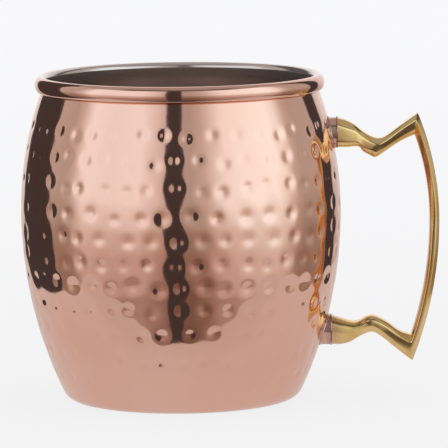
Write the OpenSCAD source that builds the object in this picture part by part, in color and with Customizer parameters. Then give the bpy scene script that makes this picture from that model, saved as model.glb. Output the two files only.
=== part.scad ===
// Copper mug: a hammered barrel with a steel lining, a rolled rim over a wire,
// and a cast brass zig-zag handle brazed on through two copper ferrules.
// Millimetres. The origin is the centre of the base, +Z is up the mug's axis and +X points to the handle.

/* [Barrel] */
// Outside radius of the barrel at its widest
belly_r = 47.5; // [44:0.5:52]
// Height of the widest point above the table
belly_z = 56; // [52:0.5:60]
// Radius of the side's curve above the belly
upper_arc_r = 105; // [100:1:112]
// Radius of the side's curve below the belly
lower_arc_r = 125; // [118:1:140]
// Radius that turns the side into the base
foot_corner_r = 5; // [4:0.5:8]
// Thickness of the copper sheet
copper_t = 0.7; // [0.5:0.1:0.9]
// Radius of the recess stamped into the base
recess_r = 26; // [20:1:28]
// Depth of the recess stamped into the base
recess_h = 0.8; // [0.4:0.1:1.5]

/* [Rim and lining] */
// Distance from the axis to the middle of the rolled rim
bead_ring_r = 41.2; // [41:0.1:41.4]
// Half thickness of the rolled rim, across the wall
bead_half_w = 1.7; // [1.6:0.05:1.8]
// Half height of the rolled rim
bead_half_h = 2.5; // [2.3:0.1:2.7]
// Height of the middle of the rolled rim
bead_z = 94.2; // [94:0.1:94.4]
// Radius of the wire inside the rolled rim
wire_r = 0.7; // [0.5:0.1:0.7]
// Thickness of the steel lining
lining_t = 0.3; // [0.2:0.1:0.4]

/* [Handle joints] */
// Outside radius of the copper ferrules
ferrule_r = 4.5; // [4.2:0.1:4.8]
// Radius of the handle's spigots inside the ferrules
spigot_r = 2.6; // [2:0.1:3]
// Height of the upper ferrule's axis
upper_joint_z = 79; // [78.5:0.1:79.5]
// Height of the lower ferrule's axis
lower_joint_z = 19.9; // [19.5:0.1:20.5]
// Where the upper ferrule ends and the handle's upper foot begins, from the mug's axis
upper_joint_x = 46.6; // [46.5:0.1:46.9]
// Where the lower ferrule ends and the handle's lower foot begins, from the mug's axis
lower_joint_x = 44.4; // [44.3:0.1:44.8]
// Width of the braze line between a ferrule and the handle
seam_w = 0.35; // [0.2:0.05:0.4]
// How far a braze line stands proud of its ferrule
seam_h = 0.3; // [0.2:0.05:0.4]
// Leg of the braze fillet between a ferrule and the wall
fillet_leg = 0.4; // [0.3:0.05:0.45]

/* [Handle grip] */
// Distance from the mug's axis to the grip's outer edge
grip_x = 76.7; // [75:0.1:80]
// Height at which the grip stands furthest out
grip_z = 53; // [52:0.5:55]
// Thickness of the grip there
grip_t = 2.8; // [2.5:0.1:4]
// Radius of the grip's outer edge above that height
outer_upper_arc_r = 84; // [80:1:88]
// Radius of the grip's outer edge below that height
outer_lower_arc_r = 116; // [112:1:120]
// Radius of the grip's inner edge above that height
inner_upper_arc_r = 74; // [70:1:76]
// Radius of the grip's inner edge below that height
inner_lower_arc_r = 108; // [106:1:112]
// Height of the upper horn's tip
upper_tip_z = 84.6; // [84:0.1:85]
// Height of the inside corner under the upper horn
upper_corner_z = 78.4; // [78:0.1:79]
// Height of the lower horn's tip
lower_tip_z = 10.4; // [10:0.1:11]
// Height of the inside corner over the lower horn
lower_corner_z = 18.3; // [18:0.1:19]
// Depth of the grip from side to side
grip_d = 7.6; // [6:0.1:9]
// Depth of the arms at their elbows
elbow_d = 6.6; // [5:0.1:8]
// Depth of the handle's feet at the ferrules
foot_d = 8.8; // [8:0.1:9]
// Part of each half section that its flat faces take, the rest being bevel
flat_share = 0.45; // [0.3:0.05:0.6]

/* [Hidden] */
$fn = 240;
copper_color = [0.80, 0.50, 0.42];
steel_color = [0.72, 0.72, 0.73];
wire_color = [0.50, 0.50, 0.52];
brass_color = [0.78, 0.66, 0.36];
braze_color = [0.45, 0.30, 0.28];
// Room above the rim that a cutting shape runs past
over = 1;
// Height inside the rolled rim at which the side's curve ends
wall_top = bead_z - 0.9;

// The foot corner lies just inside the lower side arc. It stands proud of it by a hair, so that the
// two arcs cross at a point.
corner_proud = 0.005;
corner_gap = lower_arc_r - foot_corner_r + corner_proud;
corner_rise = belly_z - foot_corner_r;
corner_x = belly_r - lower_arc_r + sqrt(corner_gap * corner_gap - corner_rise * corner_rise);

// Height at which the side arc gives way to the corner arc, on a surface t inside the outer one.
// It is rounded to a step that stays within the stretch where the corner stands proud.
cut_step = 0.05;
function corner_top(t) =
    round((foot_corner_r - (foot_corner_r - t) * corner_rise / corner_gap) / cut_step) * cut_step;

// Distance from the axis of the outer wall at height z, above and below the belly
function arc_x(x, r, dz) = x - r + sqrt(r * r - dz * dz);
function wall_x(z) = arc_x(belly_r, z > belly_z ? upper_arc_r : lower_arc_r, z - belly_z);

// Upward lean of the outer wall's normal at height z
function wall_lean(z) = asin((z - belly_z) / (z > belly_z ? upper_arc_r : lower_arc_r));

// Half section of the barrel filled to the axis, a distance t inside its outer surface
module barrel_section(t) {
    intersection() {
        translate([belly_r - upper_arc_r, belly_z]) circle(upper_arc_r - t);
        translate([0, belly_z]) square([belly_r, wall_top - belly_z]);
    }
    intersection() {
        translate([belly_r - lower_arc_r, belly_z]) circle(lower_arc_r - t);
        translate([0, corner_top(t)]) square([belly_r, belly_z - corner_top(t)]);
    }
    intersection() {
        translate([corner_x, foot_corner_r]) circle(foot_corner_r - t);
        translate([corner_x, t]) square(foot_corner_r - t);
    }
    translate([0, t]) square([corner_x, corner_top(t) - t]);
}

// Section of the rolled rim, a distance t inside its outer surface. Its sides are pressed flat.
module bead_section(t) {
    flat = bead_half_h - bead_half_w;
    for (rise = [-flat, flat])
        translate([bead_ring_r, bead_z + rise]) circle(bead_half_w - t);
    translate([bead_ring_r - bead_half_w + t, bead_z - flat])
        square([2 * (bead_half_w - t), 2 * flat]);
}

module wire_section() {
    translate([bead_ring_r, bead_z]) circle(wire_r);
}

// Half section of the space t inside the barrel, which opens up past the rim's crest
module hollow_section(t, bead_inset) {
    difference() {
        union() {
            barrel_section(t);
            translate([0, wall_top]) square([bead_ring_r, bead_z + bead_half_h + over - wall_top]);
        }
        bead_section(bead_inset);
        square([recess_r + t, recess_h + t]);
    }
}

module copper_shell() {
    color(copper_color) rotate_extrude() difference() {
        union() {
            barrel_section(0);
            bead_section(0);
        }
        hollow_section(copper_t, lining_t);
        wire_section();
        square([recess_r, recess_h]);
    }
}

module steel_lining() {
    color(steel_color) rotate_extrude() difference() {
        hollow_section(copper_t, lining_t);
        hollow_section(copper_t + lining_t, 0);
    }
}

module rim_wire() {
    color(wire_color) rotate_extrude() wire_section();
}

// A solid turned about a line parallel to X at height z
module turned(x, z) {
    translate([x, 0, z]) rotate([0, 90, 0]) children();
}

module barrel_solid() {
    rotate_extrude() barrel_section(0);
}

// Copper sleeve between the wall and the handle's foot, its inner end cut to the wall
module ferrule(x, z) {
    color(copper_color) difference() {
        turned(belly_r / 2, z) cylinder(h = x - belly_r / 2, r = ferrule_r);
        turned(0, z) cylinder(h = x + over, r = spigot_r);
        barrel_solid();
    }
}

// Thin ring of braze run round the outer end of a ferrule
module braze_seam(x, z) {
    color(braze_color) turned(x - seam_w, z) difference() {
        cylinder(h = seam_w, r = ferrule_r + seam_h);
        translate([0, 0, -over]) cylinder(h = seam_w + 2 * over, r = ferrule_r);
    }
}

// The part of the barrel that backs a joint at height z, drawn in short straight bands
module wall_near(z) {
    reach = ferrule_r + fillet_leg + 2 * over;
    rotate_extrude() polygon(concat(
        [[0, z - reach]],
        [for (dz = [-reach : reach / 8 : reach]) [wall_x(z + dz), z + dz]],
        [[0, z + reach]]
    ));
}

// Sloping ring of braze in the corner between a ferrule and the wall
module braze_fillet(x, z) {
    wide_r = ferrule_r + fillet_leg + over;
    color(braze_color) difference() {
        translate([wall_x(z), 0, z]) rotate([0, 90 - wall_lean(z), 0])
            translate([0, 0, -over]) cylinder(h = over + fillet_leg, r1 = wide_r, r2 = ferrule_r);
        turned(0, z) cylinder(h = x + over, r = ferrule_r);
        wall_near(z);
    }
}

// The handle is drawn as pairs of points across it: one on its outer edge, one on its inner
// edge, and the depth there. The grip's pairs lie on arcs and the arms' pairs are listed.
function outer_x(z) = arc_x(grip_x, z > grip_z ? outer_upper_arc_r : outer_lower_arc_r, z - grip_z);
function inner_x(z) =
    arc_x(grip_x - grip_t, z > grip_z ? inner_upper_arc_r : inner_lower_arc_r, z - grip_z);
function blend(a, b, share) = a + (b - a) * share;

upper_arm = [
    [upper_joint_x, upper_joint_z + foot_d / 2, upper_joint_x, upper_joint_z - foot_d / 2, foot_d],
    [49.0, 82.7, 49.4, 74.7, 8.6],
    [51.6, 81.3, 52.8, 74.8, 8.0],
    [54.4, 79.0, 54.2, 73.3, 7.2],
    [57.0, 77.6, 56.2, 72.1, elbow_d],
    [59.0, 77.2, 57.9, 71.5, elbow_d],
    [61.4, 78.1, 60.6, 73.2, elbow_d],
    [66.0, 81.5, 65.2, 76.3, 7.0]
];
grip_steps = 14;
grip = [for (i = [0 : grip_steps])
    let (
        zo = blend(upper_tip_z, lower_tip_z, i / grip_steps),
        zi = blend(upper_corner_z, lower_corner_z, i / grip_steps)
    )
    [outer_x(zo), zo, inner_x(zi), zi, grip_d]];
lower_arm = [
    [64.2, 13.8, 64.4, 19.6, 7.0],
    [60.6, 16.8, 61.0, 22.1, elbow_d],
    [57.9, 18.7, 58.4, 23.6, elbow_d],
    [56.3, 19.2, 56.4, 24.2, elbow_d],
    [54.4, 18.6, 54.8, 23.8, elbow_d],
    [52.4, 17.6, 52.9, 22.8, 7.2],
    [50.0, 16.2, 50.8, 22.4, 8.0],
    [47.4, 15.5, 47.8, 23.2, 8.6],
    [lower_joint_x, lower_joint_z - foot_d / 2, lower_joint_x, lower_joint_z + foot_d / 2, foot_d]
];
stations = concat(upper_arm, grip, lower_arm);

// Eight corners of the section, as its sides up and across. The bevels between its flats are cut
// at 45 degrees, so each takes as much off the depth as off the height.
section_corners = [
    [1, 1, "edge"], [1, 1, "face"], [-1, 1, "face"], [-1, 1, "edge"],
    [-1, -1, "edge"], [-1, -1, "face"], [1, -1, "face"], [1, -1, "edge"]
];
sides = len(section_corners);
function section_point(s, corner) =
    let (
        half_height = norm([s[0] - s[2], s[1] - s[3]]) / 2,
        half_depth = s[4] / 2,
        bevel = (1 - flat_share) * half_height,
        up = corner[0] * (corner[2] == "face" ? flat_share : 1),
        across = corner[1] * (half_depth - (corner[2] == "edge" ? bevel : 0))
    )
    [(s[0] + s[2]) / 2 + (s[0] - s[2]) / 2 * up, across, (s[1] + s[3]) / 2 + (s[1] - s[3]) / 2 * up];
handle_points = [for (s = stations) for (corner = section_corners) section_point(s, corner)];
last_ring = (len(stations) - 1) * sides;
handle_faces = concat(
    [[for (j = [sides - 1 : -1 : 0]) j]],
    [for (i = [0 : len(stations) - 2]) for (j = [0 : sides - 1])
        let (a = i * sides + j, b = i * sides + (j + 1) % sides) [a, b, b + sides]],
    [for (i = [0 : len(stations) - 2]) for (j = [0 : sides - 1])
        let (a = i * sides + j, b = i * sides + (j + 1) % sides) [a, b + sides, a + sides]],
    [[for (j = [0 : sides - 1]) last_ring + j]]
);

module spigot(x, z) {
    difference() {
        turned(belly_r / 2, z) cylinder(h = x - belly_r / 2, r = spigot_r);
        barrel_solid();
    }
}

module handle() {
    color(brass_color) {
        polyhedron(points = handle_points, faces = handle_faces, convexity = 6);
        spigot(upper_joint_x, upper_joint_z);
        spigot(lower_joint_x, lower_joint_z);
    }
}

module upper_ferrule() { ferrule(upper_joint_x, upper_joint_z); }
module lower_ferrule() { ferrule(lower_joint_x, lower_joint_z); }
module upper_braze_seam() { braze_seam(upper_joint_x, upper_joint_z); }
module lower_braze_seam() { braze_seam(lower_joint_x, lower_joint_z); }
module upper_braze_fillet() { braze_fillet(upper_joint_x, upper_joint_z); }
module lower_braze_fillet() { braze_fillet(lower_joint_x, lower_joint_z); }

copper_shell();
steel_lining();
rim_wire();
handle();
upper_ferrule();
lower_ferrule();
upper_braze_seam();
lower_braze_seam();
upper_braze_fillet();
lower_braze_fillet();
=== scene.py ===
# Copper mug: a hammered barrel with a steel lining, a rolled rim over a wire, and a cast brass
# zig-zag handle brazed on through two copper ferrules. The origin is the centre of the base, +Z
# is up the mug's axis and +X points to the handle. Sizes are in millimetres until meshes are made.
import math
import random

import bmesh
import bpy
from mathutils import Matrix, Vector


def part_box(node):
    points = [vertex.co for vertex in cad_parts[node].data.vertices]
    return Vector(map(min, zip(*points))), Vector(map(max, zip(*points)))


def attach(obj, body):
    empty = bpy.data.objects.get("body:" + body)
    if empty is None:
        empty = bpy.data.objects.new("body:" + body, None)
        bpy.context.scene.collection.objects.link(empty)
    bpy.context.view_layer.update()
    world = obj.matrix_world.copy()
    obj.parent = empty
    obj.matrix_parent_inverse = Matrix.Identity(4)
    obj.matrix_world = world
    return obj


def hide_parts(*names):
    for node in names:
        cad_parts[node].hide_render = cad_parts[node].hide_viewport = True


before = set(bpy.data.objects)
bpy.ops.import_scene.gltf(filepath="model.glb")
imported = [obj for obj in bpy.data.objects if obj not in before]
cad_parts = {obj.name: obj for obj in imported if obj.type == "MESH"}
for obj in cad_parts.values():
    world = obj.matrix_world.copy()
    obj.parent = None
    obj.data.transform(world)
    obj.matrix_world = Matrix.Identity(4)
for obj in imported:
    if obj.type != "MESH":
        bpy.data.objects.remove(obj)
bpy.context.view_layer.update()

# ---------------------------------------------------------------------------
# Copper body
# One copper sheet spun into a barrel, beaten all over from outside with a ball-faced hammer, then
# polished to a mirror. Its top edge is rolled outwards over a wire, and its base is dished in.

MM = 0.001
body_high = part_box("copper_shell")[1]
wire_low, wire_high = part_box("rim_wire")
wire_radius = (wire_high.z - wire_low.z) / 2 / MM
bead_ring = wire_high.x / MM - wire_radius
bead_height = (wire_high.z + wire_low.z) / 2 / MM
bead_half_height = body_high.z / MM - bead_height
crest_inset = 0.05
crest_ring = bead_ring - crest_inset
crest_angle = 90.0
lip_angle = 180.0
bead_outer_reach = 1.75
bead_inner_reach = 1.65
belly_radius = body_high.y / MM
belly_height = 56.0
upper_side_arc = 105.0
lower_side_arc = 125.0
foot_arc = 5.0
copper_sheet = 0.7
lining_sheet = 0.3
dish_radius = 26.0
dish_depth = 0.8

corner_reach = lower_side_arc - foot_arc
corner_rise = belly_height - foot_arc
corner_radius = belly_radius - lower_side_arc + math.sqrt(corner_reach**2 - corner_rise**2)


def corner_top(inset):
    """Height where the foot's corner meets the side, on a surface inset from the outer one."""
    return foot_arc - (foot_arc - inset) * corner_rise / corner_reach


def side(height, inset=0.0):
    """Distance from the axis of the barrel's wall, inset from its outer surface."""
    if height < corner_top(inset):
        squared = (foot_arc - inset) ** 2 - (foot_arc - height) ** 2
        return corner_radius + math.sqrt(max(0.0, squared))
    arc = upper_side_arc if height > belly_height else lower_side_arc
    return belly_radius - arc + math.sqrt((arc - inset) ** 2 - (height - belly_height) ** 2)


def bead_outside(angle):
    """A point on the rolled rim's outer half, from its outermost point at 0 to its crest at 90."""
    turn = math.radians(angle)
    return (
        crest_ring + bead_outer_reach * math.cos(turn),
        bead_height + bead_half_height * math.sin(turn),
    )


def bead_inside(inset, angle):
    """A point on the rim's inner shoulder, round from the crest at 90 to the lip at 180."""
    turn = math.radians(angle)
    shoulder = bead_height + bead_half_height - bead_inner_reach
    radius = bead_inner_reach - inset
    return crest_ring + radius * math.cos(turn), shoulder + radius * math.sin(turn)


def bead_meets_wall():
    """The angle at which the underside of the rim meets the wall, found by halving."""
    inside, outside = -90.0, 0.0
    halvings = 40
    for _ in range(halvings):
        middle = (inside + outside) / 2
        x, z = bead_outside(middle)
        if x < side(z):
            inside = middle
        else:
            outside = middle
    return (inside + outside) / 2


def steps(first, last, count):
    """Even steps from one value to another, with both of them included."""
    return [first + (last - first) * i / count for i in range(count + 1)]


def wall_rows(inset, top, spacing):
    """Section points up the side, closer together on the tight corner at the foot."""
    start = corner_top(inset)
    arc_radius = foot_arc - inset
    corner_steps = 7
    corner = [
        (corner_radius + arc_radius * math.sin(a), foot_arc - arc_radius * math.cos(a))
        for a in steps(0.0, math.acos((foot_arc - start) / arc_radius), corner_steps)
    ]
    count = round((top - start) / spacing)
    return corner[:-1] + [(side(z, inset), z) for z in steps(start, top, count)]


def dish_over(inset):
    """The raised middle of the base, from the axis out, on a surface inset from the outer one."""
    reach = dish_radius + inset
    return [(0, dish_depth + inset), (reach, dish_depth + inset), (reach, inset)]


# The hammer's marks, in rows round the barrel. Each is a shallow bowl whose lip dies away softly.
# A row has its height, its number of marks, the angle of one of them from the front, and how far
# its bowls spread. The blows near the base are deeper, and no two blows are quite alike. A mark's
# place round the mug is kept as a share of a turn from +X.
draw = random.Random(41)
mark_rows = (
    (82.5, 39, 3.2, 1.35), (75.2, 41, -0.9, 1.42), (67.4, 41, -2.2, 1.52), (59.6, 38, 4.2, 1.62),
    (52.2, 40, -1.8, 1.70), (45.2, 41, -2.3, 1.70), (38.6, 42, 0.2, 1.70), (31.7, 41, -0.8, 1.62),
    (25.0, 37, 3.8, 1.50), (16.7, 42, 0.9, 1.42), (9.8, 34, -2.9, 1.20),
)
front_share = 0.75
mark_depth = 0.33
low_rows = 20.0
low_row_depth = 1.3 * mark_depth
reach_in_spreads = 2.7
sideways_wander = (-0.17, 0.17)
height_wander = (-1.0, 1.0)
spread_range = (0.86, 1.16)
depth_range = (0.72, 1.15)
marks = []
for row_height, in_row, first_angle, row_spread in mark_rows:
    row_depth = low_row_depth if row_height < low_rows else mark_depth
    for i in range(in_row):
        share = front_share + first_angle / 360 + (i + draw.uniform(*sideways_wander)) / in_row
        marks.append((
            share % 1.0,
            row_height + draw.uniform(*height_wander),
            row_spread * draw.uniform(*spread_range),
            row_depth * draw.uniform(*depth_range),
        ))

# Slow waves left in the sheet between the marks: how many go round, how much each slants as it
# climbs, and where it starts. The neck and the corner at the foot are left smooth.
wave_size = 0.006
wave_count = 9
waves_round = (14, 38)
slant_range = (0.25, 0.7)
waves = [
    (draw.randint(*waves_round), draw.uniform(*slant_range), draw.uniform(0, math.tau))
    for _ in range(wave_count)
]
smooth_above = 87.5
smooth_below = 5.0
fade = 3.0


def beaten(section, columns):
    """How far in the hammer has pressed each point of a turned wall, as one list for each row."""
    pressed = []
    for x, z in section:
        inside = min(smooth_above - z, z - smooth_below) / fade
        share = max(0.0, min(1.0, inside))
        pressed.append([
            share * wave_size * sum(
                math.sin(math.tau * turns * c / columns + slant * z + start)
                for turns, slant, start in waves
            )
            for c in range(columns)
        ])
    for place, height, spread, depth in marks:
        radius = reach_in_spreads * spread
        for row, (x, z) in enumerate(section):
            if abs(z - height) >= radius:
                continue
            column_width = math.tau * x / columns
            across = math.sqrt(radius**2 - (z - height) ** 2)
            centre = place * columns
            reach = across / column_width
            for c in range(math.ceil(centre - reach), math.floor(centre + reach) + 1):
                apart = math.hypot((c - centre) * column_width, z - height)
                pressed[row][c % columns] += depth * math.exp(-((apart / spread) ** 2))
    return pressed


def turned(section, columns, pressed=None):
    """Rings of a section turned about the mug's axis. A point on the axis makes a ring of one."""
    rings = []
    for row, (x, z) in enumerate(section):
        if x == 0:
            rings.append([(0.0, 0.0, z)])
            continue
        ring = []
        for c in range(columns):
            turn = math.tau * c / columns
            reach = x - (pressed[row][c] if pressed else 0.0)
            ring.append((reach * math.cos(turn), reach * math.sin(turn), z))
        rings.append(ring)
    return rings


def solid(name, *shells, sharp=38.0):
    """A mesh object from closed shells, each of them (rings, ends). Ends are "poles", where the
    first and last rings are single points, "caps", or "loop", where the rings close on themselves.
    An edge that turns by more than sharp degrees stays crisp.
    """
    mesh = bmesh.new()
    for rings, ends in shells:
        made = [[mesh.verts.new(Vector(p) * MM) for p in ring] for ring in rings]
        pairs = list(zip(made, made[1:]))
        if ends == "loop":
            pairs.append((made[-1], made[0]))
        if ends == "caps":
            mesh.faces.new(reversed(made[0]))
            mesh.faces.new(made[-1])
        for low, high in pairs:
            count = max(len(low), len(high))
            for i in range(count):
                j = (i + 1) % count
                if len(low) == 1:
                    mesh.faces.new((low[0], high[j], high[i]))
                elif len(high) == 1:
                    mesh.faces.new((low[i], low[j], high[0]))
                else:
                    mesh.faces.new((low[i], low[j], high[j], high[i]))
    for face in mesh.faces:
        face.smooth = True
    data = bpy.data.meshes.new(name)
    mesh.to_mesh(data)
    mesh.free()
    data.set_sharp_from_angle(angle=math.radians(sharp))
    made_object = bpy.data.objects.new(name, data)
    bpy.context.scene.collection.objects.link(made_object)
    return made_object


class Socket:
    """One output of a node. Sums written with sockets add the Math nodes that work them out."""

    def __init__(self, finish, output):
        self.finish = finish
        self.output = output

    def maths(self, operation, first, second):
        return self.finish.node("ShaderNodeMath", {"operation": operation}, {0: first, 1: second})

    def __add__(self, other):
        return self.maths("ADD", self, other)

    def __radd__(self, other):
        return self.maths("ADD", other, self)

    def __sub__(self, other):
        return self.maths("SUBTRACT", self, other)

    def __rsub__(self, other):
        return self.maths("SUBTRACT", other, self)

    def __mul__(self, other):
        return self.maths("MULTIPLY", self, other)

    def __rmul__(self, other):
        return self.maths("MULTIPLY", other, self)

    def __truediv__(self, other):
        return self.maths("DIVIDE", self, other)

    def __rtruediv__(self, other):
        return self.maths("DIVIDE", other, self)


class Finish:
    """A material being made. It starts as one shader, and node() adds each node that feeds it."""

    def __init__(self, name, shader="ShaderNodeBsdfPrincipled", **values):
        self.material = bpy.data.materials.new(name)
        self.material.use_nodes = True
        self.tree = self.material.node_tree
        self.tree.nodes.clear()
        self.shader = self.tree.nodes.new(shader)
        output = self.tree.nodes.new("ShaderNodeOutputMaterial")
        self.tree.links.new(self.shader.outputs[0], output.inputs["Surface"])
        self.set(**values)

    def feed(self, socket, value):
        """Links a node's output to a socket, or sets the socket to a number, vector or colour."""
        if isinstance(value, Socket):
            self.tree.links.new(value.output, socket)
        elif isinstance(value, tuple) and socket.type == "RGBA":
            socket.default_value = (*value, 1.0)
        else:
            socket.default_value = value

    def set(self, **values):
        """Sets the shader's sockets by name: base_color for Base Color, and so on."""
        for name, value in values.items():
            socket = name.replace("_", " ").title().replace("Ior", "IOR")
            self.feed(self.shader.inputs[socket], value)

    def node(self, kind, settings=None, inputs=None, output=0):
        """Adds a node with its settings made first, then its sockets, and gives one output."""
        new = self.tree.nodes.new(kind)
        for name, value in (settings or {}).items():
            if name == "stops":
                while len(new.color_ramp.elements) < len(value):
                    new.color_ramp.elements.new(0.5)
                for element, (place, colour) in zip(new.color_ramp.elements, value):
                    element.position = place
                    element.color = (*colour, 1.0)
            else:
                setattr(new, name, value)
        for key, value in (inputs or {}).items():
            self.feed(new.inputs[key], value)
        return Socket(self, new.outputs[output])

    def place(self):
        """Where a point lies on the mug, in metres."""
        return self.node("ShaderNodeTexCoord", output="Object")

    def noise(self, scale, detail=3.0, where=None):
        """Cloudy noise. The scale is about how many clouds there are to a metre."""
        where = where or self.place()
        return self.node("ShaderNodeTexNoise", {}, {
            "Vector": where, "Scale": scale, "Detail": detail,
        })

    def streaks(self, scales, detail):
        """Noise that is drawn out along the axes with the smaller scales."""
        stretched = self.node("ShaderNodeMapping", {}, {"Vector": self.place(), "Scale": scales})
        return self.noise(1.0, detail, stretched)

    def mix(self, share, first, second):
        """A colour between two, by a share from 0 to 1."""
        return self.node("ShaderNodeMix", {"data_type": "RGBA"}, {0: share, 6: first, 7: second}, 2)

    def ramp(self, value, low, high):
        """A share that goes smoothly from 0 to 1 as a value goes from low to high."""
        return self.node("ShaderNodeMapRange", {"interpolation_type": "SMOOTHSTEP"}, {
            "Value": value, "From Min": low, "From Max": high,
        })

    def bump(self, height, distance):
        """A normal for a rough surface, with the distance in metres that the height stands for."""
        return self.node("ShaderNodeBump", {}, {
            "Height": height, "Distance": distance, "Strength": 1.0,
        })

    def axis(self, name):
        """One coordinate of the place, in metres."""
        return self.node("ShaderNodeSeparateXYZ", {}, {0: self.place()}, name)


def polished_copper():
    """Mirror-polished copper under thin lacquer: faint tone clouds and a slightly uneven shine."""
    fresh = (0.905, 0.560, 0.455)
    warm = (0.880, 0.515, 0.405)
    finish = Finish("polished_copper", metallic=1.0, coat_weight=0.12, coat_roughness=0.04)
    clouds = finish.noise(34.0)
    grain = finish.noise(260.0, 5.0)
    finish.set(
        base_color=finish.mix(finish.ramp(clouds, 0.35, 0.7), fresh, warm),
        roughness=0.055 + 0.035 * clouds + 0.02 * grain,
        normal=finish.bump(finish.noise(420.0, 4.0), 0.000006),
    )
    return finish.material


body_columns = 450
body_row_spacing = 0.6
hidden_row_spacing = 7.0
bead_steps = 22
hidden_lip_steps = 9
lip_start = 92.2
bead_contact = bead_meets_wall()
wall_outside = wall_rows(0.0, bead_outside(bead_contact)[1], body_row_spacing)
wall_inside = wall_rows(copper_sheet, lip_start, hidden_row_spacing)
dish_outside = dish_over(0.0)
body_section = (
    dish_outside
    + wall_outside
    + [bead_outside(a) for a in steps(bead_contact, crest_angle, bead_steps)][1:]
    + [bead_inside(lining_sheet, a) for a in steps(crest_angle, lip_angle, hidden_lip_steps)]
    + wall_inside[::-1]
    + dish_over(copper_sheet)[::-1]
)
body_pressed = [[0.0] * body_columns for _ in body_section]
for row, pressed_row in enumerate(beaten(wall_outside, body_columns)):
    body_pressed[len(dish_outside) + row] = pressed_row

# The bore that the wire lies in, turned the other way round because it is a hollow
bore_clearance = 0.01
bore_radius = wire_radius + bore_clearance
bore_sides = 16
bore_columns = 96
wire_bore = [
    (bead_ring + bore_radius * math.cos(a), bead_height + bore_radius * math.sin(a))
    for a in steps(math.tau, 0.0, bore_sides)[:-1]
]
body = solid(
    "hammered_copper_body",
    (turned(body_section, body_columns, body_pressed), "poles"),
    (turned(wire_bore, bore_columns), "loop"),
)
body.data.materials.append(polished_copper())
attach(body, "root")
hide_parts("copper_shell")

# ---------------------------------------------------------------------------
# Steel lining
# A thin stainless cup inside the copper, beaten together with it, so that the marks stand up on its
# inner face. Its lip wraps over the inner half of the rolled rim and ends at the crest.


def lining_steel():
    """Stainless between bright and satin, warm in tone, with faint spinning rings and a haze."""
    clear = (0.74, 0.64, 0.595)
    hazy = (0.68, 0.58, 0.535)
    finish = Finish("lining_steel", metallic=0.92)
    haze = finish.noise(55.0)
    rings = finish.streaks((20.0, 20.0, 2600.0), 2.0)
    finish.set(
        base_color=finish.mix(haze, clear, hazy),
        roughness=0.12 + 0.10 * haze + 0.04 * rings,
        normal=finish.bump(rings, 0.000002),
    )
    return finish.material


lining_columns = 360
lining_row_spacing = 0.75
lining_lip_steps = 12
lining_gap = 0.02
under_inset = copper_sheet + lining_gap
over_inset = copper_sheet + lining_sheet
lining_inside = wall_rows(over_inset, lip_start, lining_row_spacing)[::-1]
lining_start = (
    dish_over(under_inset)
    + wall_rows(under_inset, lip_start, hidden_row_spacing)
    + [
        bead_inside(lining_sheet - lining_gap, a)
        for a in steps(lip_angle, crest_angle, hidden_lip_steps)
    ]
    + [bead_inside(0.0, a) for a in steps(crest_angle, lip_angle, lining_lip_steps)]
)
lining_section = lining_start + lining_inside + dish_over(over_inset)[::-1]
lining_pressed = [[0.0] * lining_columns for _ in lining_section]
inner_marks_share = 0.8
for row, pressed_row in enumerate(beaten(lining_inside, lining_columns)):
    lining_pressed[len(lining_start) + row] = [depth * inner_marks_share for depth in pressed_row]
lining_rings = turned(lining_section, lining_columns, lining_pressed)
lining = solid("beaten_steel_lining", (lining_rings, "poles"))
lining.data.materials.append(lining_steel())
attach(lining, "root")
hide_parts("steel_lining")

# ---------------------------------------------------------------------------
# Rim wire
# The drawn steel wire that the rim is rolled over, which keeps it stiff and round. Nothing else
# holds it: the copper closes it in all round.


def drawn_wire():
    """Dull drawn steel wire with fine specks of scale."""
    bare = (0.42, 0.42, 0.43)
    scaled = (0.30, 0.29, 0.29)
    finish = Finish("drawn_wire", metallic=1.0)
    scale = finish.noise(900.0)
    finish.set(
        base_color=finish.mix(scale, bare, scaled),
        roughness=0.35 + 0.15 * scale,
    )
    return finish.material


def refinish(node, material):
    """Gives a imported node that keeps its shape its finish."""
    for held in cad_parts[node].material_slots:
        held.material = material


refinish("rim_wire", drawn_wire())

# ---------------------------------------------------------------------------
# Ferrules
# Two short copper sleeves that the handle's feet are brazed to. The torch has left them darker and
# streaked round with purple and pink.


def torched_copper():
    """Copper dulled by the torch, with heat colours in bands along the sleeve."""
    copper = (0.80, 0.52, 0.42)
    purple = (0.58, 0.36, 0.30)
    pink = (0.88, 0.60, 0.54)
    finish = Finish("torched_copper", metallic=1.0)
    bands = finish.streaks((520.0, 40.0, 40.0), 1.0)
    patches = finish.noise(110.0)
    tint = finish.mix(finish.ramp(bands, 0.35, 0.65), copper, purple)
    finish.set(
        base_color=finish.mix(finish.ramp(patches, 0.55, 0.75), tint, pink),
        roughness=0.16 + 0.10 * patches,
        normal=finish.bump(patches, 0.00001),
    )
    return finish.material


sleeve_finish = torched_copper()
refinish("upper_ferrule", sleeve_finish)
refinish("lower_ferrule", sleeve_finish)

# ---------------------------------------------------------------------------
# Braze
# Where each sleeve meets the body and the handle, a thin run of braze has frozen in uneven lumps,
# stained dark by the flux at the brass and polished with the wall at the copper, where its light
# pink colour is a painted highlight.


def frozen_braze(name, dark, bright):
    """Braze metal, dark in its hollows and brighter where the polishing mop caught the lumps."""
    finish = Finish(name, metallic=1.0)
    lumps = finish.noise(420.0, 2.0)
    finish.set(
        base_color=finish.mix(finish.ramp(lumps, 0.40, 0.7), dark, bright),
        roughness=0.18 + 0.14 * lumps,
        normal=finish.bump(lumps, 0.00001),
    )
    return finish.material


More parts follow.
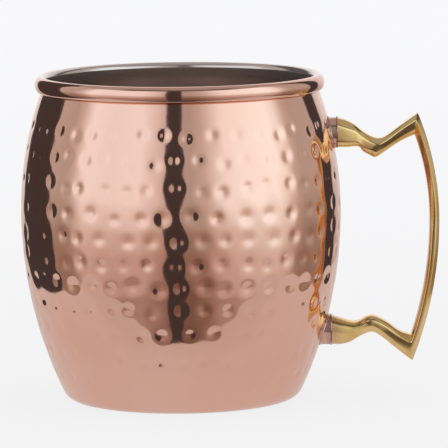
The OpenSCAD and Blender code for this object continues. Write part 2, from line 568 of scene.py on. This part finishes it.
def braze_run(name, node, radius, height, x_at, thickness, material):
    """A lumpy ring of braze round a sleeve's end. x_at gives its distance out from the axis."""
    around = 72
    across = 10
    lump_waves = 6
    lumps_round = (3, 15)
    lump_size = (0.02, 0.06)
    lumpy = random.Random(node)
    lumps = [
        (lumpy.randint(*lumps_round), lumpy.uniform(0, math.tau), lumpy.uniform(*lump_size))
        for _ in range(lump_waves)
    ]
    rings = []
    for i in range(around):
        turn = math.tau * i / around
        swell = 1.0 + sum(size * math.sin(n * turn + phase) for n, phase, size in lumps)
        centre = Vector((0.0, radius * math.cos(turn), height + radius * math.sin(turn)))
        centre.x = x_at(centre.y, centre.z)
        outward = Vector((0.0, math.cos(turn), math.sin(turn)))
        along = Vector((1.0, 0.0, 0.0))
        ring = []
        for j in range(across):
            spin = math.tau * j / across
            offset = outward * math.cos(spin) + along * math.sin(spin)
            ring.append(centre + offset * thickness * swell)
        rings.append(ring)
    run = solid(name, (rings, "loop"), sharp=80.0)
    run.data.materials.append(material)
    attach(run, "root")
    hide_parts(node)


wall_clearance = 0.02


def beside_wall(y, z):
    """How far out along X the body's wall is at a place, with a little clearance."""
    return math.sqrt(side(z) ** 2 - y**2) + wall_clearance


seam_braze = frozen_braze("seam_braze", (0.30, 0.17, 0.15), (0.66, 0.45, 0.38))
# The wall run's colours are lighter and pinker than the polished copper beside it: a painted
# highlight along the fillet.
wall_braze = frozen_braze("wall_braze", (0.60, 0.39, 0.33), (0.90, 0.68, 0.60))
seam_thickness = 0.24
seam_setback = 0.1
wall_run_thickness = 0.26
wall_run_lift = 0.02
for joint in ("upper", "lower"):
    sleeve_low, sleeve_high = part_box(joint + "_ferrule")
    sleeve_radius = sleeve_high.y / MM
    sleeve_height = (sleeve_low.z + sleeve_high.z) / 2 / MM
    sleeve_end = sleeve_high.x / MM
    braze_run(
        joint + "_seam_run", joint + "_braze_seam", sleeve_radius, sleeve_height,
        lambda y, z: sleeve_end - seam_setback, seam_thickness, seam_braze,
    )
    braze_run(
        joint + "_wall_run", joint + "_braze_fillet", sleeve_radius + wall_run_lift, sleeve_height,
        beside_wall, wall_run_thickness, wall_braze,
    )

# ---------------------------------------------------------------------------
# Handle
# One brass casting: two arms that zig-zag out to sharp horns, joined by a thin bowed grip, all
# bevelled like cut bar. Its feet end in spigots inside the sleeves. Filed, then buffed bright.

# The bar at each place: its outer point's x and z, its inner point's x and z, its depth, how much
# of its half height stays flat before the outer and the inner bevel, and how round its corners are.
upper_arm = [
    (46.6, 83.4, 46.6, 74.6, 8.8, 0.52, 0.60, 0.26),
    (49.0, 82.7, 49.4, 74.7, 8.2, 0.44, 0.62, 0.18),
    (51.6, 81.3, 52.8, 74.8, 7.2, 0.42, 0.60, 0.16),
    (54.4, 79.0, 54.2, 73.3, 6.4, 0.40, 0.52, 0.18),
    (57.0, 77.6, 56.2, 72.1, 6.1, 0.40, 0.40, 0.24),
    (59.0, 77.2, 57.9, 71.5, 6.2, 0.42, 0.40, 0.24),
    (61.4, 78.1, 60.6, 73.2, 6.4, 0.45, 0.45, 0.18),
    (66.0, 81.5, 65.2, 76.3, 7.0, 0.48, 0.50, 0.16),
    (70.5, 84.6, 69.8, 78.4, 7.6, 0.50, 0.45, 0.14),
]
lower_arm = [
    (68.6, 10.4, 67.8, 18.3, 7.6, 0.50, 0.45, 0.14),
    (64.2, 13.8, 64.4, 19.6, 7.0, 0.48, 0.50, 0.16),
    (60.6, 16.8, 61.0, 22.1, 6.6, 0.45, 0.45, 0.18),
    (57.9, 18.7, 58.4, 23.6, 6.6, 0.42, 0.40, 0.26),
    (56.3, 19.2, 56.4, 24.2, 6.6, 0.45, 0.45, 0.34),
    (54.4, 18.6, 54.8, 23.8, 6.6, 0.48, 0.48, 0.42),
    (52.4, 17.6, 52.9, 22.8, 7.2, 0.42, 0.42, 0.50),
    (50.0, 16.2, 50.8, 22.4, 8.0, 0.42, 0.42, 0.50),
    (47.4, 15.5, 47.8, 23.2, 8.6, 0.42, 0.42, 0.50),
    (44.4, 15.5, 44.4, 24.3, 8.8, 0.42, 0.42, 0.50),
]
grip_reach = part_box("handle")[1].x / MM
grip_middle = 53.0
grip_thickness = 2.8
grip_depth = 7.6
grip_outer_flat = 0.20
grip_rounding = 0.16
inner_bevel_slope = 0.85
face_draft = 0.015
outer_arcs = (84.0, 116.0)
inner_arcs = (74.0, 108.0)
grip_steps = 56
arm_steps = 8


def arc(reach, arcs, height):
    """Distance out of the bowed grip's edge: one arc above its middle and one below."""
    rise = height - grip_middle
    radius = arcs[0] if rise > 0 else arcs[1]
    return reach - radius + math.sqrt(radius**2 - rise**2)


def blended(first, second, share):
    """The values a share of the way from one set to another."""
    return tuple(a + (b - a) * share for a, b in zip(first, second))


def smooth_between(places, count):
    """The places joined by a curve through them all, with count steps between each two."""
    padded = [places[0], *places, places[-1]]
    path = [places[0]]
    for a, b, c, d in zip(padded, padded[1:], padded[2:], padded[3:]):
        for i in range(1, count + 1):
            t = i / count
            path.append(tuple(
                q + 0.5 * t * (
                    (r - p) + t * ((2 * p - 5 * q + 4 * r - s) + t * (3 * (q - r) + s - p))
                )
                for p, q, r, s in zip(a, b, c, d)
            ))
    return path


def across_bar(place):
    """The ring of points round the bevelled bar at one place."""
    outer_x, outer_z, inner_x, inner_z, depth, outer_flat, inner_flat, rounding = place
    half_height = math.hypot(outer_x - inner_x, outer_z - inner_z) / 2
    outer_edge = 1 - (1 - outer_flat) * half_height / (depth / 2)
    inner_edge = 1 - inner_bevel_slope * (1 - inner_flat) * half_height / (depth / 2)
    inner_face = 1 - face_draft * (outer_x - inner_x) / (2 * half_height)
    corners = [
        (1, outer_edge), (outer_flat, 1), (-inner_flat, inner_face), (-1, inner_edge),
        (-1, -inner_edge), (-inner_flat, -inner_face), (outer_flat, -1), (1, -outer_edge),
    ]
    corner_steps = 4
    ring = []
    for i, corner in enumerate(corners):
        before = blended(corner, corners[i - 1], rounding)
        after = blended(corner, corners[(i + 1) % len(corners)], rounding)
        for t in steps(0.0, 1.0, corner_steps):
            height, deep = blended(blended(before, corner, t), blended(corner, after, t), t)
            ring.append((
                (outer_x + inner_x) / 2 + (outer_x - inner_x) / 2 * height,
                depth / 2 * deep,
                (outer_z + inner_z) / 2 + (outer_z - inner_z) / 2 * height,
            ))
    return ring


def grip_inner_flat(down):
    """How flat the grip's inner side is, a share of the way down it. Its bevel takes all of the
    upper end, and narrows on the way to the middle.
    """
    upper_flat, lower_flat = -0.05, 0.55
    widest_to, narrowest_from = 0.2, 0.5
    above = (narrowest_from - down) / (narrowest_from - widest_to)
    return lower_flat - (lower_flat - upper_flat) * min(1.0, max(0.0, above))


def spigot(foot, outwards):
    """The round peg inside a sleeve, as a ring at each end of it that matches the foot's ring."""
    peg_radius = 2.6
    joint_height = (min(z for x, y, z in foot) + max(z for x, y, z in foot)) / 2
    at_foot = []
    at_wall = []
    for x, y, z in foot:
        turn = math.atan2(z - joint_height, y)
        peg_y = peg_radius * math.cos(turn)
        peg_z = joint_height + peg_radius * math.sin(turn)
        at_foot.append((x, peg_y, peg_z))
        at_wall.append((beside_wall(peg_y, peg_z), peg_y, peg_z))
    return [at_foot, at_wall] if outwards else [at_wall, at_foot]


horn_tip = upper_arm[-1]
toe_tip = lower_arm[0]
grip = []
for down in steps(0.0, 1.0, grip_steps):
    outer_z, inner_z = blended((horn_tip[1], horn_tip[3]), (toe_tip[1], toe_tip[3]), down)
    grip.append((
        arc(grip_reach, outer_arcs, outer_z), outer_z,
        arc(grip_reach - grip_thickness, inner_arcs, inner_z), inner_z,
        grip_depth, grip_outer_flat, grip_inner_flat(down), grip_rounding,
    ))
bar = smooth_between(upper_arm, arm_steps)[:-1] + grip + smooth_between(lower_arm, arm_steps)[1:]
bar_rings = [across_bar(place) for place in bar]
handle_rings = spigot(bar_rings[0], False) + bar_rings + spigot(bar_rings[-1], True)
handle = solid("cast_brass_handle", (handle_rings, "caps"))


def buffed_brass():
    """Bright yellow brass, deeper in places, with fine mop lines and heat colour at the feet."""
    yellow = (0.92, 0.66, 0.31)
    deep = (0.80, 0.53, 0.20)
    heated = (0.62, 0.36, 0.30)
    heat_full, heat_gone = 0.0465, 0.0495
    finish = Finish("buffed_brass", metallic=1.0)
    clouds = finish.noise(90.0)
    lines = finish.streaks((420.0, 2400.0, 420.0), 3.0)
    metal = finish.mix(finish.ramp(clouds, 0.35, 0.7), yellow, deep)
    uneven = finish.axis("X") + 0.003 * finish.noise(420.0)
    near_foot = 1 - finish.ramp(uneven, heat_full, heat_gone)
    finish.set(
        base_color=finish.mix(0.5 * near_foot, metal, heated),
        roughness=0.11 + 0.07 * clouds + 0.05 * lines,
        normal=finish.bump(lines + clouds, 0.000006),
    )
    return finish.material


handle.data.materials.append(buffed_brass())
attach(handle, "root")
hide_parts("handle")

# ---------------------------------------------------------------------------
# Table and light
# A pale table under soft even light. What the polished metal mirrors is set apart from it: the
# lit table top, diffusers all round with dark gaps between them, and a grey ceiling. The camera
# sees only the table and the daylight beyond it.


def stage_mesh(name, points, faces, material):
    """A piece of the studio, which isn't part of the mug."""
    data = bpy.data.meshes.new(name)
    data.from_pydata([Vector(point) * MM for point in points], [], faces)
    data.materials.append(material)
    made_object = bpy.data.objects.new(name, data)
    bpy.context.scene.collection.objects.link(made_object)
    return made_object


def plate(name, corners, material):
    """A flat stage piece."""
    return stage_mesh(name, corners, [tuple(range(len(corners)))], material)


def only_mirrored(stage_piece):
    """Leaves a stage piece to be seen in the metal's reflections and nowhere else."""
    stage_piece.visible_camera = False
    stage_piece.visible_diffuse = False
    stage_piece.visible_shadow = False


table_paint = Finish("pale_table", roughness=1.0, specular_ior_level=0.0, emission_strength=0.90)
near_white = (0.905, 0.905, 0.915)
far_white = (0.94, 0.94, 0.955)
shaded_share = 0.10
near_to_far = table_paint.ramp(table_paint.axis("Y"), -0.1, 1.2)
table_white = table_paint.mix(near_to_far, near_white, far_white)
table_paint.set(
    base_color=table_paint.node("ShaderNodeVectorMath", {"operation": "SCALE"}, {
        0: table_white, "Scale": shaded_share,
    }),
    emission_color=table_white,
)
floor_reach = 4000.0
table = plate("table", [
    (-floor_reach, -floor_reach, 0), (floor_reach, -floor_reach, 0),
    (floor_reach, floor_reach, 0), (-floor_reach, floor_reach, 0),
], table_paint.material)
table.visible_glossy = False

# The mirrored table top ends a little in front of the mug and to either side of it, and is a
# shade darker along its front.
lit_top_height = -0.5
lit_top_corners = (
    (-20.0, -71.0), (20.0, -71.0), (58.0, -84.0), (154.0, -88.0),
    (154.0, 900.0), (-140.0, 900.0), (-140.0, -90.0), (-52.0, -86.0),
)
lit_top = Finish("mirrored_table", "ShaderNodeEmission", strength=1.0)
lit_top_depth = lit_top.ramp(lit_top.axis("Y"), -0.075, -0.045)
lit_top.set(color=lit_top.mix(lit_top_depth, (0.6138, 0.5766, 0.558), (0.66, 0.62, 0.60)))
only_mirrored(plate(
    "mirrored_table_top", [(x, y, lit_top_height) for x, y in lit_top_corners], lit_top.material,
))

# The diffusers round the mug. glow_round gives their glow by azimuth, where 0 is in front and 90 on
# the handle's side. glow_up gives the share of it by elevation: it falls away towards the floor.
screen_radius = 2000.0
glow_round = (
    (-180, (1.02, 1.03, 1.04)), (-120, (0.60, 0.58, 0.56)), (-92, (0.50, 0.48, 0.45)),
    (-84, (0.66, 0.65, 0.63)), (-74, (1.02, 1.12, 1.18)), (-55, (0.95, 1.04, 1.09)),
    (-30, (0.99, 1.09, 1.15)), (-18, (0.80, 0.82, 0.82)), (-7, (0.58, 0.56, 0.54)),
    (8, (0.48, 0.46, 0.43)), (18, (0.62, 0.61, 0.59)), (34, (1.02, 1.14, 1.20)),
    (52, (1.10, 1.30, 1.38)), (74, (1.14, 1.40, 1.50)), (84, (1.00, 1.12, 1.15)),
    (92, (0.62, 0.60, 0.56)), (100, (0.50, 0.48, 0.44)), (125, (0.52, 0.50, 0.47)),
    (180, (1.02, 1.03, 1.04)),
)
glow_up = (
    (-65, (0.12, 0.08, 0.07)), (-40, (0.36, 0.25, 0.21)), (-30, (0.42, 0.30, 0.25)),
    (-24, (0.42, 0.29, 0.25)), (-20, (0.58, 0.45, 0.40)), (-14, (0.62, 0.49, 0.43)),
    (-9, (0.68, 0.58, 0.51)), (-4, (0.82, 0.77, 0.72)), (4, (1.0, 1.0, 1.0)),
)
diffuser_foot = -75.0
diffuser_top = 46.0

# The dark gaps: the first and the last azimuth of each, and how much it leans as it rises. They
# hang just inside the diffusers.
dark_gaps = {
    "front_gap": (-10.8, 2.2, 0.0),
    "right_gap": (126, 143, 0.2),
    "left_gap": (207, 253, 0.2),
}
gap_top = 47.0
gap_nearness = 0.97

# The ceiling above the diffusers, with a dark edge over the front of the mug
ceiling_edge_reach = 62
ceiling_edge_top = 61.0
ceiling_edge_nearness = 0.98


def on_sphere(azimuth, elevation):
    """A point on the sphere that the screens lie on."""
    a = math.radians(azimuth)
    e = math.radians(elevation)
    return (
        screen_radius * math.sin(a) * math.cos(e),
        -screen_radius * math.cos(a) * math.cos(e),
        screen_radius * math.sin(e),
    )


def screen(name, first, last, bottom, top, glow, lean=0.0, nearness=1.0):
    """A curved screen over a range of azimuths and elevations, which may lean to one side."""
    points = []
    faces = []
    face_degrees = 4
    across = max(2, round((last - first) / face_degrees))
    upward = max(2, round((top - bottom) / face_degrees))
    for e in steps(bottom, top, upward):
        points += [on_sphere(a - lean * e, e) for a in steps(first, last, across)]
    for row in range(upward):
        for c in range(across):
            corner = row * (across + 1) + c
            faces.append((corner, corner + 1, corner + across + 2, corner + across + 1))
    made_object = stage_mesh(name, points, faces, glow.material)
    made_object.scale = (nearness, nearness, nearness)
    only_mirrored(made_object)


def plain_glow(name, colour):
    """Light of one colour all over."""
    return Finish(name, "ShaderNodeEmission", color=colour, strength=1.0)


diffuser = plain_glow("diffuser_glow", (1.0, 1.0, 1.0))
to_front = -1.0 * diffuser.axis("Y")
round_share = 0.5 + to_front.maths("ARCTAN2", diffuser.axis("X"), to_front) / math.tau
up_share = 0.5 + diffuser.axis("Z") / (2 * screen_radius * MM)
round_stops = [((azimuth + 180) / 360, colour) for azimuth, colour in glow_round]
up_stops = [((1 + math.sin(math.radians(elevation))) / 2, colour) for elevation, colour in glow_up]
diffuser.set(color=diffuser.node("ShaderNodeVectorMath", {"operation": "MULTIPLY"}, {
    0: diffuser.node("ShaderNodeValToRGB", {"stops": round_stops}, {0: round_share}),
    1: diffuser.node("ShaderNodeValToRGB", {"stops": up_stops}, {0: up_share}),
}))
screen("diffusers", -180, 180, diffuser_foot, diffuser_top, diffuser)
gap = plain_glow("gap_dark", (0.060, 0.052, 0.052))
for name, (first, last, lean) in dark_gaps.items():
    screen(name, first, last, diffuser_foot, gap_top, gap, lean, gap_nearness)
screen("ceiling", 0, 360, diffuser_top, 90.0, plain_glow("ceiling_grey", (0.42, 0.40, 0.395)))
screen(
    "ceiling_edge", -ceiling_edge_reach, ceiling_edge_reach, diffuser_top, ceiling_edge_top,
    plain_glow("ceiling_edge_grey", (0.13, 0.118, 0.118)), nearness=ceiling_edge_nearness,
)

world = bpy.data.worlds.new("soft_daylight")
world.use_nodes = True
world.node_tree.nodes["Background"].inputs["Color"].default_value = (1.0, 1.0, 1.0, 1.0)
world.node_tree.nodes["Background"].inputs["Strength"].default_value = 1.0
world.cycles_visibility.glossy = False
bpy.context.scene.world = world
bpy.context.scene.view_settings.view_transform = "Standard"

# ---------------------------------------------------------------------------
# Camera
# A long lens, so that the mug keeps its proportions. It looks down a little on the belly, with the
# handle seen side-on, and is tilted a touch.
aim = Vector((12.74, 0.0, 51.82)) * MM
camera_distance = 1400.0 * MM
look_down = math.radians(7.04)
tilt = math.radians(0.58)
back = Vector((0.0, -math.cos(look_down), math.sin(look_down)))
lens = bpy.data.cameras.new("camera")
lens.sensor_width = 36.0
lens.lens = 378.3
lens.clip_end = 20.0
camera = bpy.data.objects.new("camera", lens)
facing = back.to_track_quat("Z", "Y").to_matrix().to_4x4()
stand = Matrix.Translation(aim + back * camera_distance)
camera.matrix_world = stand @ facing @ Matrix.Rotation(-tilt, 4, "Z")
bpy.context.scene.collection.objects.link(camera)
bpy.context.scene.camera = camera
